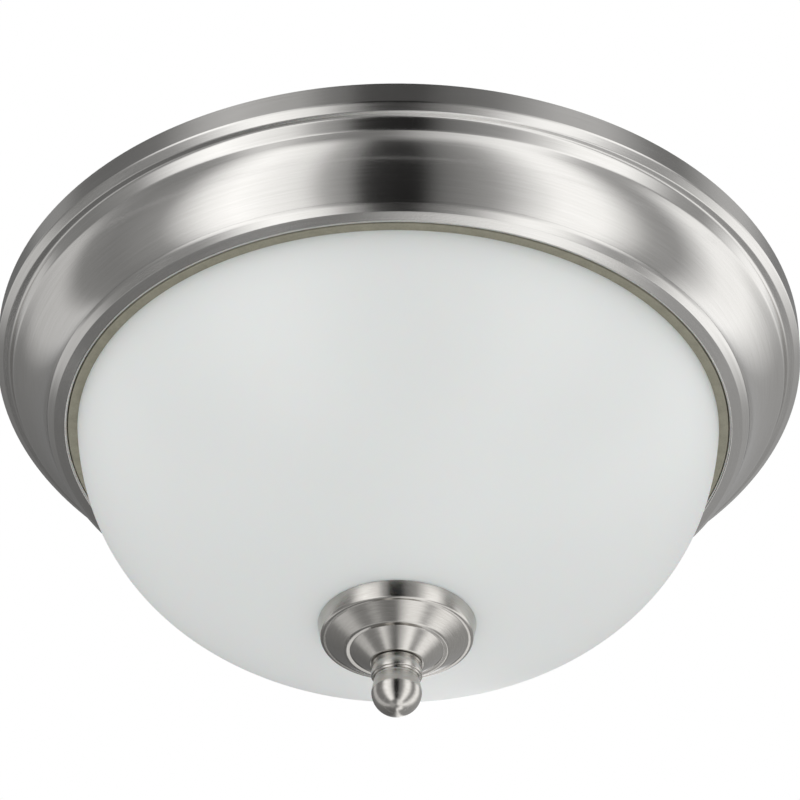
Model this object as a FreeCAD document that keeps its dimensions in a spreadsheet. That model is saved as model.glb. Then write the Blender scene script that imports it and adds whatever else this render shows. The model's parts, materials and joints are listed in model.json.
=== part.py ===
import FreeCAD, Part
import math
import os
import Sketcher

# A flush ceiling light: a spun metal pan against the ceiling, an opal glass bowl
# hung under it on a central threaded rod, and a turned cap and knob that hold the bowl.
# Origin at the centre of the ceiling plane, +Z up, so the light hangs below z = 0.
# Drops are measured down from the ceiling.

os.makedirs("parts", exist_ok=True)
doc = FreeCAD.newDocument("CeilingLight")
vector = FreeCAD.Vector

driving = {
    # pan, outer skin from the ceiling edge inwards
    "pan_radius": 165.0,
    "pan_sheet": 0.8,
    "bead_drop": 12.0,
    "bead_round": 2.4,
    "bead_width": 5.9,
    "bead_rise": 1.1,
    "bead_crease_round": 0.5,
    "step_width": 1.9,
    "step_height": 4.7,
    "step_round": 1.6,
    "cove_width": 15.6,
    "cove_depth": 6.8,
    "cove_land": 2.1,
    "roll_rise": 1.5,
    "roll_round": 2.0,
    "roll_width": 3.0,
    "hem_slope_width": 1.0,
    "hem_width": 5.5,
    "hem_crease_rise": 1.45,
    "hem_crease_round": 0.3,
    "hem_outer_round": 1.2,
    "hem_inner_round": 1.5,
    "pan_drop": 40.4,
    # pan, inner skin from the bowl's seat up to the deck
    "seat_drop": 31.0,
    "seat_width": 15.1,
    "seat_outer_round": 1.0,
    "seat_inner_round": 1.5,
    "deck_draft": 1.0,
    "deck_drop": 14.0,
    "deck_round": 2.0,
    # keyholes and the bushed wire hole in the deck
    "keyhole_entry_radius": 5.2,
    "keyhole_reach": 10.0,
    "screw_clearance": 0.25,
    "bushing_offset": 24.0,
    "bushing_bore": 5.0,
    "bushing_wall": 2.3,
    "bushing_flange": 2.2,
    "bushing_flange_thick": 1.5,
    "bushing_round": 0.5,
    "bushing_fit": 0.15,
    # glass fibre heat pad above the deck
    "heat_pad_width": 28.0,
    "heat_pad_edge": 5.0,
    "heat_pad_clearance": 5.2,
    "heat_pad_thick": 9.5,
    # mounting strap across the outlet box
    "strap_web": 3.2,
    "strap_end": 7.0,
    "strap_width": 20.0,
    "strap_thick": 1.6,
    "strap_corner": 4.0,
    "box_slot_spacing": 79.4,
    "box_slot_length": 14.0,
    "box_slot_width": 4.5,
    "strap_hole_radius": 5.1,
    "fixture_screw_radius": 2.05,
    "fixture_head_radius": 4.2,
    "fixture_head_height": 2.8,
    "thread_fit": 0.05,
    "screw_end_recess": 0.2,
    "screw_chamfer": 0.6,
    "ground_screw_place": 18.0,
    "ground_screw_radius": 1.7,
    "ground_head_radius": 3.8,
    "ground_head_height": 2.4,
    # central threaded rod with its two nuts and spring washer
    "rod_radius": 3.0,
    "rod_chamfer": 0.6,
    "rod_top_drop": 6.6,
    "nut_across_flats": 10.0,
    "nut_height": 5.0,
    "nut_chamfer": 0.5,
    "spring_washer_radius": 5.6,
    "spring_washer_thick": 1.3,
    # bowl
    "mouth_gap": 2.2,
    "gasket_wall": 1.0,
    "gasket_web": 1.7,
    "gasket_seat_gap": 0.3,
    "gasket_skirt": 6.5,
    "gasket_inner_leg": 4.0,
    "gasket_round": 0.35,
    "gasket_fit": 0.05,
    "bowl_height": 94.9,
    "bowl_shoulder_rise": 28.0,
    "bowl_roundness": 2.95,
    "bowl_wall": 4.0,
    "bowl_hole_clearance": 3.0,
    # cap under the bowl
    "cap_radius": 30.4,
    "cap_sheet": 1.2,
    "cap_rim_height": 7.1,
    "cap_glass_gap": 0.25,
    "cap_rim_round": 1.6,
    "cap_step_width": 3.2,
    "cap_step_rise": 0.3,
    "cap_crease_round": 0.3,
    "cap_dish_width": 7.4,
    "cap_dish_height": 4.9,
    "cap_dish_round": 1.8,
    "cap_neck_width": 2.0,
    "cap_neck_rise": 0.1,
    "cap_cone_width": 7.4,
    "cap_height": 17.6,
    "cap_nose_round": 0.9,
    "cap_hole_clearance": 0.4,
    "cap_pad_width": 5.0,
    "cap_pad_gap": 0.3,
    # knob
    "knob_gap": 0.2,
    "knob_bore_clearance": 0.06,
    "knob_bore_depth": 14.0,
    "knob_thread_depth": 12.6,
    "collar_radius": 9.7,
    "collar_height": 5.5,
    "collar_edge": 0.5,
    "ridge_radius": 9.15,
    "ridge_height": 0.9,
    "neck_radius": 8.65,
    "neck_height": 1.1,
    "bulb_end_radius": 9.55,
    "bulb_end_swell": 4.3,
    "knob_height": 21.6,
    # lampholders
    "lamp_offset": 35.0,
    "lamp_drop": 52.0,
    "holder_length": 38.0,
    "holder_radius": 19.0,
    "holder_waist_radius": 17.0,
    "holder_waist_length": 14.0,
    "holder_flare": 3.5,
    "holder_floor": 8.0,
    "holder_lip": 3.5,
    "holder_round": 1.4,
    "holder_lip_clearance": 0.65,
    "terminal_hole_radius": 1.6,
    "terminal_hole_depth": 9.0,
    "terminal_hole_height": 4.0,
    "terminal_hole_spread": 4.6,
    "shell_sheet": 0.5,
    "shell_fit": 0.15,
    "shell_base_fit": 0.2,
    "shell_lift": 6.0,
    "shell_length": 20.0,
    "shell_flange": 5.6,
    "spring_sheet": 0.5,
    "spring_width": 7.0,
    "spring_foot": 5.0,
    "spring_ramp": 2.5,
    "spring_rise": 3.5,
    "spring_reach": 7.5,
    "spring_round": 1.0,
    "bracket_sheet": 1.2,
    "bracket_width": 26.0,
    "bracket_foot": 26.2,
    "bracket_below_axis": 14.0,
    "bracket_bend": 2.5,
    "rivet_radius": 2.0,
    "rivet_head_radius": 3.2,
    "rivet_head_height": 1.2,
    "rivet_spacing": 10.0,
    "rivet_first": 8.0,
    "holder_screw_radius": 1.7,
    "holder_screw_head": 3.1,
    "holder_screw_head_height": 2.2,
    "holder_screw_spread": 8.0,
    "holder_screw_depth": 6.0,
    # bulbs
    "bulb_length": 110.0,
    "bulb_radius": 30.0,
    "bulb_globe_wall": 1.4,
    "bulb_base_radius": 13.1,
    "bulb_base_length": 19.0,
    "bulb_base_round": 0.8,
    "bulb_tip_radius": 4.5,
    "bulb_tip_height": 1.6,
    "bulb_insulator_radius": 10.6,
    "bulb_contact_length": 5.0,
    "bulb_contact_gap": 0.3,
    "bulb_collar_radius": 12.8,
    "bulb_collar_length": 3.0,
    "bulb_housing_length": 38.0,
    "bulb_flare_height": 19.0,
    "bulb_brow": 5.5,
    "bulb_housing_radius": 28.4,
    "bulb_seam_recess": 0.6,
}

sheet = doc.addObject("Spreadsheet::Sheet", "Sizes")
for row, (name, value) in enumerate(driving.items(), start=1):
    sheet.set(f"A{row}", name)
    sheet.set(f"B{row}", str(value))
    sheet.setAlias(f"B{row}", name)
doc.recompute()


class Size:
    # A length together with the sheet formula that gives it.
    def __init__(self, text, value):
        self.text = text
        self.value = value

    def __add__(self, other):
        other = asSize(other)
        return Size(f"({self.text} + {other.text})", self.value + other.value)

    def __sub__(self, other):
        other = asSize(other)
        return Size(f"({self.text} - {other.text})", self.value - other.value)

    def __mul__(self, other):
        other = asSize(other)
        return Size(f"({self.text} * {other.text})", self.value * other.value)

    def __truediv__(self, other):
        other = asSize(other)
        return Size(f"({self.text} / {other.text})", self.value / other.value)

    def __neg__(self):
        return Size(f"(-1 * {self.text})", -self.value)

    def __radd__(self, other):
        return asSize(other) + self

    def __rsub__(self, other):
        return asSize(other) - self

    def __rmul__(self, other):
        return asSize(other) * self

    def __rtruediv__(self, other):
        return asSize(other) / self

    def power(self, other):
        other = asSize(other)
        return Size(f"pow({self.text}; {other.text})", self.value ** other.value)


def asSize(value):
    if isinstance(value, Size):
        return value
    return Size(repr(value), value)


def size(name):
    return Size(f"Sizes.{name}", float(sheet.get(name)))


def bind(item, path, value):
    item.setExpression(path, asSize(value).text)


def planeOf(body, role):
    for item in body.Origin.OriginFeatures:
        if item.Role == role:
            return item
    raise ValueError(role)


def flat(point):
    return vector(asSize(point[0]).value, asSize(point[1]).value, 0)


def fixValue(sketch, kind, item, spot, value):
    # Ties one coordinate of a sketch point to the sheet.
    if isinstance(value, (int, float)) and value == 0:
        axis = -2 if kind == "DistanceX" else -1
        sketch.addConstraint(Sketcher.Constraint("PointOnObject", item, spot, axis))
        return
    value = asSize(value)
    place = sketch.addConstraint(Sketcher.Constraint(kind, -1, 1, item, spot, value.value))
    sketch.setExpression(f"Constraints[{place}]", value.text)


def fixRadius(sketch, item, value):
    value = asSize(value)
    place = sketch.addConstraint(Sketcher.Constraint("Radius", item, value.value))
    sketch.setExpression(f"Constraints[{place}]", value.text)


def fixPoint(sketch, item, spot, point):
    fixValue(sketch, "DistanceX", item, spot, point[0])
    fixValue(sketch, "DistanceY", item, spot, point[1])


def cornerArc(before, corner, after, radius):
    # Where a round of this radius leaves and joins the two edges of a corner.
    inward = (corner - before).normalize()
    outward = (after - corner).normalize()
    reach = radius * math.tan(inward.getAngle(outward) / 2)
    turnsLeft = inward.cross(outward).z > 0
    side = vector(-inward.y, inward.x, 0) * (1 if turnsLeft else -1)
    start = corner - inward * reach
    finish = corner + outward * reach
    return start, finish, start + side * radius, turnsLeft


def addArc(sketch, centre, radius, start, finish, turnsLeft):
    first = math.atan2(start.y - centre.y, start.x - centre.x)
    last = math.atan2(finish.y - centre.y, finish.x - centre.x)
    if not turnsLeft:
        first, last = last, first
    if last < first:
        last += 2 * math.pi
    circle = Part.Circle(centre, vector(0, 0, 1), radius)
    return sketch.addGeometry(Part.ArcOfCircle(circle, first, last), False)


def addOutline(sketch, corners, closed=True):
    # Draws straight edges through the corners, with a round where a corner has a third value.
    count = len(corners)
    spots = [flat(corner) for corner in corners]
    rounds = {}
    for place, corner in enumerate(corners):
        if len(corner) == 3:
            following = spots[(place + 1) % count]
            rounds[place] = cornerArc(spots[place - 1], spots[place], following, asSize(corner[2]).value)
    edges = []
    for place in range(count if closed else count - 1):
        following = (place + 1) % count
        start = rounds[place][1] if place in rounds else spots[place]
        finish = rounds[following][0] if following in rounds else spots[following]
        edges.append(sketch.addGeometry(Part.LineSegment(start, finish), False))
    for place, corner in enumerate(corners):
        before = edges[place - 1]
        if place in rounds:
            start, finish, centre, turnsLeft = rounds[place]
            arc = addArc(sketch, centre, asSize(corner[2]).value, start, finish, turnsLeft)
            mark = sketch.addGeometry(Part.Point(spots[place]), True)
            sketch.addConstraint(Sketcher.Constraint("PointOnObject", mark, 1, before))
            sketch.addConstraint(Sketcher.Constraint("PointOnObject", mark, 1, edges[place]))
            fixPoint(sketch, mark, 1, corner)
            arcStart, arcFinish = (1, 2) if turnsLeft else (2, 1)
            sketch.addConstraint(Sketcher.Constraint("Tangent", before, 2, arc, arcStart))
            sketch.addConstraint(Sketcher.Constraint("Tangent", arc, arcFinish, edges[place], 1))
            fixRadius(sketch, arc, corner[2])
        elif not closed and place == count - 1:
            fixPoint(sketch, before, 2, corner)
        else:
            fixPoint(sketch, edges[place], 1, corner)
            if closed or place > 0:
                sketch.addConstraint(Sketcher.Constraint("Coincident", before, 2, edges[place], 1))


def addCircle(sketch, centre, radius):
    circle = Part.Circle(flat(centre), vector(0, 0, 1), asSize(radius).value)
    item = sketch.addGeometry(circle, False)
    fixPoint(sketch, item, 3, centre)
    fixRadius(sketch, item, radius)


def addSlot(sketch, centreX, centreY, length, width):
    # A slot along X with half-round ends.
    radius = width / 2
    reach = length / 2 - radius
    left = vector((centreX - reach).value, centreY, 0)
    right = vector((centreX + reach).value, centreY, 0)
    rise = vector(0, radius.value, 0)
    low = sketch.addGeometry(Part.LineSegment(left - rise, right - rise), False)
    high = sketch.addGeometry(Part.LineSegment(right + rise, left + rise), False)
    rightEnd = addArc(sketch, right, radius.value, right - rise, right + rise, True)
    leftEnd = addArc(sketch, left, radius.value, left + rise, left - rise, True)
    for first, second in ((low, rightEnd), (rightEnd, high), (high, leftEnd), (leftEnd, low)):
        sketch.addConstraint(Sketcher.Constraint("Tangent", first, 2, second, 1))
    fixPoint(sketch, rightEnd, 3, (centreX + reach, centreY))
    fixPoint(sketch, leftEnd, 3, (centreX - reach, centreY))
    fixRadius(sketch, rightEnd, radius)


def addSketch(body, role, lift=None):
    sketch = body.newObject("Sketcher::SketchObject", body.Name + "_sketch")
    sketch.AttachmentSupport = (planeOf(body, role), [""])
    sketch.MapMode = "FlatFace"
    if lift is not None:
        bind(sketch, ".AttachmentOffset.Base.z", lift)
    return sketch


def newBody(label):
    body = doc.addObject("PartDesign::Body", label)
    body.Label = label
    return body


def spin(body, sketch):
    turned = body.newObject("PartDesign::Revolution", body.Name + "_turned")
    turned.Profile = sketch
    turned.ReferenceAxis = (sketch, ["V_Axis"])
    turned.Angle = 360
    return turned


def turnedBody(label, corners):
    # A solid of revolution about its own Z from a closed half section.
    body = newBody(label)
    sketch = addSketch(body, "XZ_Plane")
    addOutline(sketch, corners)
    spin(body, sketch)
    return body


def paddedBody(label, draw, lift, thick):
    # A flat piece: the outline that draw makes, raised by thick from the height lift.
    body = newBody(label)
    sketch = addSketch(body, "XY_Plane", lift)
    draw(sketch)
    pad = body.newObject("PartDesign::Pad", label + "_pad")
    pad.Profile = sketch
    bind(pad, "Length", thick)
    return body


def skinProfile(label, corners, thick):
    # A wall of even thickness along an open path in the XZ plane.
    path = doc.addObject("Sketcher::SketchObject", label + "_path")
    path.Placement = FreeCAD.Placement(vector(), FreeCAD.Rotation(vector(1, 0, 0), 90))
    addOutline(path, corners, closed=False)
    skin = doc.addObject("Part::Offset2D", label + "_skin")
    skin.Source = path
    skin.Mode = "Skin"
    skin.Join = "Arc"
    skin.Fill = True
    bind(skin, "Value", thick)
    doc.recompute()
    return skin


def spunSkin(label, corners, thick):
    turned = doc.addObject("Part::Revolution", label)
    turned.Source = skinProfile(label, corners, thick)
    turned.Axis = vector(0, 0, 1)
    turned.Base = vector(0, 0, 0)
    turned.Angle = 360
    turned.Solid = False
    return turned


def bentStrip(label, corners, thick, width):
    strip = doc.addObject("Part::Extrusion", label)
    strip.Base = skinProfile(label, corners, thick)
    strip.DirMode = "Custom"
    strip.Dir = vector(0, 1, 0)
    strip.Solid = True
    strip.Symmetric = True
    bind(strip, "LengthFwd", width)
    return strip


def place(item, spot, turn=None):
    if turn is not None:
        item.Placement = FreeCAD.Placement(vector(), turn)
    for axis, value in zip("xyz", spot):
        bind(item, f".Placement.Base.{axis}", value)
    return item


def cylinder(label, radius, height, spot, turn=None):
    item = doc.addObject("Part::Cylinder", label)
    bind(item, "Radius", radius)
    bind(item, "Height", height)
    return place(item, spot, turn)


def block(label, width, depth, height, spot):
    item = doc.addObject("Part::Box", label)
    bind(item, "Length", width)
    bind(item, "Width", depth)
    bind(item, "Height", height)
    return place(item, spot)


def together(kind, label, items):
    joined = doc.addObject(kind, label)
    joined.Label = label
    if kind == "Part::Compound":
        joined.Links = items
    else:
        joined.Shapes = items
    return joined


def cut(label, base, tools):
    carved = doc.addObject("Part::Cut", label)
    carved.Label = label
    carved.Base = base
    carved.Tool = tools[0] if len(tools) == 1 else together("Part::MultiFuse", label + "_tools", tools)
    return carved


# Radii of the pan's skin, each a step in from the one before.
panRadius = size("pan_radius")
panSheet = size("pan_sheet")
creaseRadius = panRadius - size("bead_width")
stepRadius = creaseRadius - size("step_width")
rollRadius = stepRadius - size("cove_width")
hemRadius = rollRadius - size("roll_width")
hemOuter = hemRadius - size("hem_slope_width")
mouthRadius = hemRadius - size("hem_width")
seatRadius = mouthRadius - size("seat_width")
deckRadius = seatRadius - size("deck_draft")
deckTop = size("deck_drop") - panSheet

# The heat pad keeps its width and its distance from the deck's edge.
heatPadOuter = deckRadius - size("heat_pad_edge")
heatPadInner = heatPadOuter - size("heat_pad_width")

# The fixture screws stand outside the box slots, and the strap runs on past them.
fixtureScrewHole = size("fixture_screw_radius") + size("thread_fit")
fixtureScrewPlace = ((size("box_slot_spacing") + size("box_slot_length")) / 2
                     + size("strap_web") + fixtureScrewHole)

# Heights of the pan's skin, as drops below the ceiling.
creaseDrop = size("bead_drop") - size("bead_rise")
stepDrop = creaseDrop + size("step_height")
rollDrop = size("pan_drop") - size("roll_rise")
hemDrop = size("pan_drop") - size("hem_crease_rise")

# The bowl's outside is half of a superellipse: (radius / widest) squared plus
# (fall / depth) to the power of the roundness is one.
rimRadius = mouthRadius - size("mouth_gap") - size("gasket_wall")
gasketTop = size("seat_drop") + size("gasket_seat_gap")
rimDrop = gasketTop + size("gasket_web")
bowlDrop = rimDrop + size("bowl_height")
widestDrop = rimDrop - size("bowl_shoulder_rise")
bowlDepth = bowlDrop - widestDrop
roundness = size("bowl_roundness")
bowlWidest = rimRadius / (1 - (size("bowl_shoulder_rise") / bowlDepth).power(roundness)).power(0.5)
bowlWall = size("bowl_wall")
bowlHole = size("rod_radius") + size("bowl_hole_clearance")

# A dome's round stops this far from the axis, so its end keeps a short flat.
poleGap = 0.1


def bowlRadiusAt(drop, inset):
    fall = (drop - widestDrop) / (bowlDepth - inset)
    return (bowlWidest - inset) * (1 - fall.power(roundness)).power(0.5)


def bowlDropAt(radius):
    share = 1 - (radius / bowlWidest).power(2)
    return widestDrop + bowlDepth * share.power(1 / roundness)


# The cap starts just clear of the glass, and the knob just below the cap.
capRadius = size("cap_radius")
capTop = bowlDropAt(capRadius) + size("cap_glass_gap")
capRimDrop = capTop + size("cap_rim_height")
capStepRadius = capRadius - size("cap_step_width")
capStepDrop = capRimDrop - size("cap_step_rise")
capDishRadius = capStepRadius - size("cap_dish_width")
capDishDrop = capStepDrop + size("cap_dish_height")
capNeckRadius = capDishRadius - size("cap_neck_width")
capNeckDrop = capDishDrop - size("cap_neck_rise")
capNoseRadius = capNeckRadius - size("cap_cone_width")
capDrop = capTop + size("cap_height")
knobTop = capDrop + size("knob_gap")
rodRadius = size("rod_radius")
rodDrop = knobTop + size("knob_thread_depth")


def canopyPan():
    # The cove is one arc over a symmetric corner that stands cove_depth off the chord
    # between the step and the roll.
    halfWidth = size("cove_width") / 2
    halfFall = (rollDrop - stepDrop) / 2
    halfChord = (halfWidth.power(2) + halfFall.power(2)).power(0.5)
    depth = size("cove_depth")
    coveRadius = stepRadius - halfWidth - depth * halfFall / halfChord
    coveDrop = stepDrop + halfFall - depth * halfWidth / halfChord
    edge = (halfChord.power(2) + depth.power(2)).power(0.5)
    coveRound = (edge - size("cove_land")) * halfChord / depth
    skin = spunSkin("pan_skin", [
        (panRadius, 0),
        (panRadius, -size("bead_drop"), size("bead_round")),
        (creaseRadius, -creaseDrop, size("bead_crease_round")),
        (stepRadius, -stepDrop, size("step_round")),
        (coveRadius, -coveDrop, coveRound),
        (rollRadius, -rollDrop, size("roll_round")),
        (hemRadius, -hemDrop, size("hem_crease_round")),
        (hemOuter, -size("pan_drop"), size("hem_outer_round")),
        (mouthRadius, -size("pan_drop"), size("hem_inner_round")),
        (mouthRadius, -size("seat_drop"), size("seat_outer_round")),
        (seatRadius, -size("seat_drop"), size("seat_inner_round")),
        (deckRadius, -size("deck_drop"), size("deck_round")),
        (0, -size("deck_drop")),
    ], -panSheet)
    return cut("canopy_pan", skin, deckHoles())


def deckHoles():
    # Cutters through the deck: the rod, the wire bushing, two keyholes and the rivets.
    # Each stands a sheet's thickness clear of both faces.
    low = -size("deck_drop") - panSheet
    tall = panSheet * 3
    holes = [
        cylinder("rod_hole", rodRadius + size("thread_fit"), tall, (0, 0, low)),
        cylinder("wire_hole", bushingNeck() + size("bushing_fit"), tall, (0, size("bushing_offset"), low)),
    ]
    slotRadius = size("fixture_screw_radius") + size("screw_clearance")
    for name, side in (("right", 1), ("left", -1)):
        centreX = side * fixtureScrewPlace
        entryY = -side * size("keyhole_reach")
        slotStart = entryY if side > 0 else 0
        holes += [
            cylinder(f"keyhole_entry_{name}", size("keyhole_entry_radius"), tall, (centreX, entryY, low)),
            cylinder(f"keyhole_end_{name}", slotRadius, tall, (centreX, 0, low)),
            block(f"keyhole_slot_{name}", slotRadius * 2, size("keyhole_reach"), tall,
                  (centreX - slotRadius, slotStart, low)),
        ]
    for name, side in sides:
        for order in range(2):
            spot = rivetSpot(side, order)
            holes.append(cylinder(f"rivet_hole_{name}{order}", size("rivet_radius") + size("thread_fit"),
                                  tall, (spot[0], spot[1], low)))
    return holes


def heatPad():
    def draw(sketch):
        addCircle(sketch, (0, 0), heatPadOuter)
        addCircle(sketch, (0, 0), heatPadInner)
    return paddedBody("heat_pad", draw, -deckTop, size("heat_pad_thick"))


def mountingStrap():
    reach = fixtureScrewPlace + size("strap_end")
    half = size("strap_width") / 2
    corner = size("strap_corner")

    def draw(sketch):
        addOutline(sketch, [(-reach, -half, corner), (reach, -half, corner),
                            (reach, half, corner), (-reach, half, corner)])
        addCircle(sketch, (0, 0), size("strap_hole_radius"))
        addCircle(sketch, (size("ground_screw_place"), 0), size("ground_screw_radius") + size("thread_fit"))
        for side in (1, -1):
            addSlot(sketch, side * size("box_slot_spacing") / 2, 0, size("box_slot_length"),
                    size("box_slot_width"))
            addCircle(sketch, (side * fixtureScrewPlace, 0), fixtureScrewHole)
    return paddedBody("mounting_strap", draw, -size("strap_thick"), size("strap_thick"))


def screwCorners(radius, headRadius, headHeight, seat, end):
    # Half section of a domed screw that points up: the head hangs below its seat.
    edge = size("screw_chamfer")
    return [(0, seat - headHeight), (headRadius / 2, seat - headHeight),
            (headRadius, seat - headHeight / 2), (headRadius, seat),
            (radius, seat), (radius, end - edge), (radius - edge, end), (0, end)]


def fixtureScrews():
    screws = []
    for name, side in (("right", 1), ("left", -1)):
        corners = screwCorners(size("fixture_screw_radius"), size("fixture_head_radius"),
                               size("fixture_head_height"), -size("deck_drop"), -size("screw_end_recess"))
        screw = turnedBody(f"fixture_screw_{name}", corners)
        screws.append(place(screw, (side * fixtureScrewPlace, 0, 0)))
    return together("Part::Compound", "fixture_screws", screws)


def groundScrew():
    corners = screwCorners(size("ground_screw_radius"), size("ground_head_radius"),
                           size("ground_head_height"), -size("strap_thick"), -size("screw_end_recess"))
    return place(turnedBody("ground_screw", corners), (size("ground_screw_place"), 0, 0))


def bushingNeck():
    return size("bushing_bore") + size("bushing_wall")


def wireBushing():
    bore = size("bushing_bore")
    flange = bushingNeck() + size("bushing_flange")
    thick = size("bushing_flange_thick")
    low = -size("deck_drop")
    edge = size("bushing_round")
    body = turnedBody("wire_bushing", [
        (bore, low - thick), (flange, low - thick, edge), (flange, low), (bushingNeck(), low),
        (bushingNeck(), -deckTop), (flange, -deckTop), (flange, -deckTop + thick, edge),
        (bore, -deckTop + thick)])
    return place(body, (0, size("bushing_offset"), 0))


def centreRod():
    edge = size("rod_chamfer")
    top = -size("rod_top_drop")
    return turnedBody("centre_rod", [
        (0, -rodDrop), (rodRadius - edge, -rodDrop), (rodRadius, -rodDrop + edge),
        (rodRadius, top - edge), (rodRadius - edge, top), (0, top)])


def hexNut(label, low):
    # A hexagon with its corners at across_flats / sqrt(3), both faces chamfered round.
    reach = size("nut_across_flats") / 3 ** 0.5
    half = size("nut_across_flats") / 2

    def draw(sketch):
        addOutline(sketch, [(reach, 0), (reach / 2, half), (-reach / 2, half),
                            (-reach, 0), (-reach / 2, -half), (reach / 2, -half)])
        addCircle(sketch, (0, 0), rodRadius + size("thread_fit"))
    hexagon = paddedBody(label + "_hexagon", draw, low, size("nut_height"))
    edge = size("nut_chamfer")
    high = low + size("nut_height")
    rounded = turnedBody(label + "_rounding", [
        (0, low), (half, low), (reach, low + edge), (reach, high - edge), (half, high), (0, high)])
    nut = doc.addObject("Part::MultiCommon", label)
    nut.Shapes = [hexagon, rounded]
    return nut


def springWasher():
    low = -size("deck_drop") - size("spring_washer_thick")

    def draw(sketch):
        addCircle(sketch, (0, 0), size("spring_washer_radius"))
        addCircle(sketch, (0, 0), rodRadius + size("thread_fit"))
    return paddedBody("rod_spring_washer", draw, low, size("spring_washer_thick"))


def glassBowl():
    # Blown bowl: outer and inner superellipse walls, a flat ground rim and the rod hole.
    body = newBody("glass_bowl")
    sketch = addSketch(body, "XZ_Plane")
    outer = wallCurve(0)
    inner = wallCurve(bowlWall.value)
    ends = ((outer[0], inner[0]), (outer[-1], inner[-1]))
    for points in (outer, inner):
        curve = Part.BSplineCurve()
        curve.interpolate(points)
        wall = sketch.addGeometry(curve, False)
        sketch.addConstraint(Sketcher.Constraint("Block", wall))
    for start, finish in ends:
        line = sketch.addGeometry(Part.LineSegment(start, finish), False)
        sketch.addConstraint(Sketcher.Constraint("Block", line))
    spin(body, sketch)
    return body


def wallCurve(inset):
    # Points on the superellipse at even turns from the rim to the hole's edge.
    widest = bowlWidest.value - inset
    depth = bowlDepth.value - inset
    top = size("bowl_shoulder_rise").value / depth
    first = math.asin(top ** (roundness.value / 2))
    last = math.acos(bowlHole.value / widest)
    count = 12
    points = []
    for step in range(count + 1):
        turn = first + (last - first) * step / count
        fall = math.sin(turn) ** (2 / roundness.value)
        points.append(vector(widest * math.cos(turn), -widestDrop.value - depth * fall, 0))
    return points


def rimGasket():
    # A channel over the glass rim, with a longer skirt outside than inside.
    wall = size("gasket_wall")
    fit = size("gasket_fit")
    skirtDrop = rimDrop + size("gasket_skirt")
    skirtRadius = bowlRadiusAt(skirtDrop, 0) + fit
    legDrop = rimDrop + size("gasket_inner_leg")
    innerLeg = bowlRadiusAt(legDrop, bowlWall) - fit
    soft = size("gasket_round")
    return turnedBody("rim_gasket", [
        (innerLeg - wall, -gasketTop, soft),
        (innerLeg - wall, -legDrop),
        (innerLeg, -legDrop),
        (bowlRadiusAt(rimDrop, bowlWall) - fit, -rimDrop),
        (rimRadius + fit, -rimDrop),
        (skirtRadius, -skirtDrop),
        (skirtRadius + wall, -skirtDrop, soft),
        (rimRadius + fit + wall, -gasketTop, soft)])


def finialCap():
    cap = spunSkin("finial_cap", [
        (capRadius, -capTop),
        (capRadius, -capRimDrop, size("cap_rim_round")),
        (capStepRadius, -capStepDrop, size("cap_crease_round")),
        (capDishRadius, -capDishDrop, size("cap_dish_round")),
        (capNeckRadius, -capNeckDrop, size("cap_crease_round")),
        (capNoseRadius, -capDrop, size("cap_nose_round")),
        (rodRadius + size("cap_hole_clearance"), -capDrop),
    ], -size("cap_sheet"))
    return cap


def capPad():
    # Rubber ring in the cap's rim, its top following the glass.
    gap = size("cap_pad_gap")
    outer = capRadius - size("cap_sheet") - gap
    inner = outer - size("cap_pad_width")
    low = capStepDrop - size("cap_sheet") - gap
    return turnedBody("cap_pad", [
        (inner, -low), (outer, -low), (outer, -bowlDropAt(outer) - gap), (inner, -bowlDropAt(inner) - gap)])


def finialKnob():
    bore = rodRadius + size("knob_bore_clearance")
    boreDrop = knobTop + size("knob_bore_depth")
    collar = size("collar_radius")
    ridge = size("ridge_radius")
    neck = size("neck_radius")
    swell = size("bulb_end_radius")
    collarDrop = knobTop + size("collar_height")
    ridgeDrop = collarDrop + size("ridge_height")
    neckDrop = ridgeDrop + size("neck_height")
    knobDrop = knobTop + size("knob_height")
    edge = size("collar_edge")
    return turnedBody("finial_knob", [
        (0, -boreDrop), (bore, -boreDrop), (bore, -knobTop),
        (collar, -knobTop, edge), (collar, -collarDrop, edge),
        (ridge, -collarDrop), (ridge, -ridgeDrop, edge / 2), (neck, -ridgeDrop),
        (neck, -neckDrop), (swell, -neckDrop - size("bulb_end_swell")),
        (swell, -knobDrop, swell - poleGap), (0, -knobDrop)])


# Each lamp has its own frame: its Z runs out of the lampholder along the lamp's axis
# and its -X points up. Side a faces +X, side b is turned half round.
sides = (("a", 1), ("b", -1))
lyingDown = FreeCAD.Rotation(vector(0, 1, 0), 90)
halfTurn = FreeCAD.Rotation(vector(0, 0, 1), 180)
sideways = {1: lyingDown, -1: halfTurn.multiply(lyingDown)}
lampDrop = size("lamp_drop")
deckReach = lampDrop - size("deck_drop")

# The outermost rivet's head keeps clear of the heat pad, and the lampholder stands from it.
rivetReach = heatPadInner - size("heat_pad_clearance") - size("rivet_head_radius")
holderBack = (rivetReach.power(2) - size("lamp_offset").power(2)).power(0.5) + size("rivet_first")


def placeLamp(item, side):
    return place(item, (-side * holderBack, side * size("lamp_offset"), -lampDrop), sideways[side])


def rivetSpot(side, order):
    along = size("rivet_first") + order * size("rivet_spacing")
    return side * (along - holderBack), side * size("lamp_offset")


def shellRadius():
    return size("bulb_base_radius") + size("shell_fit")


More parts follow.
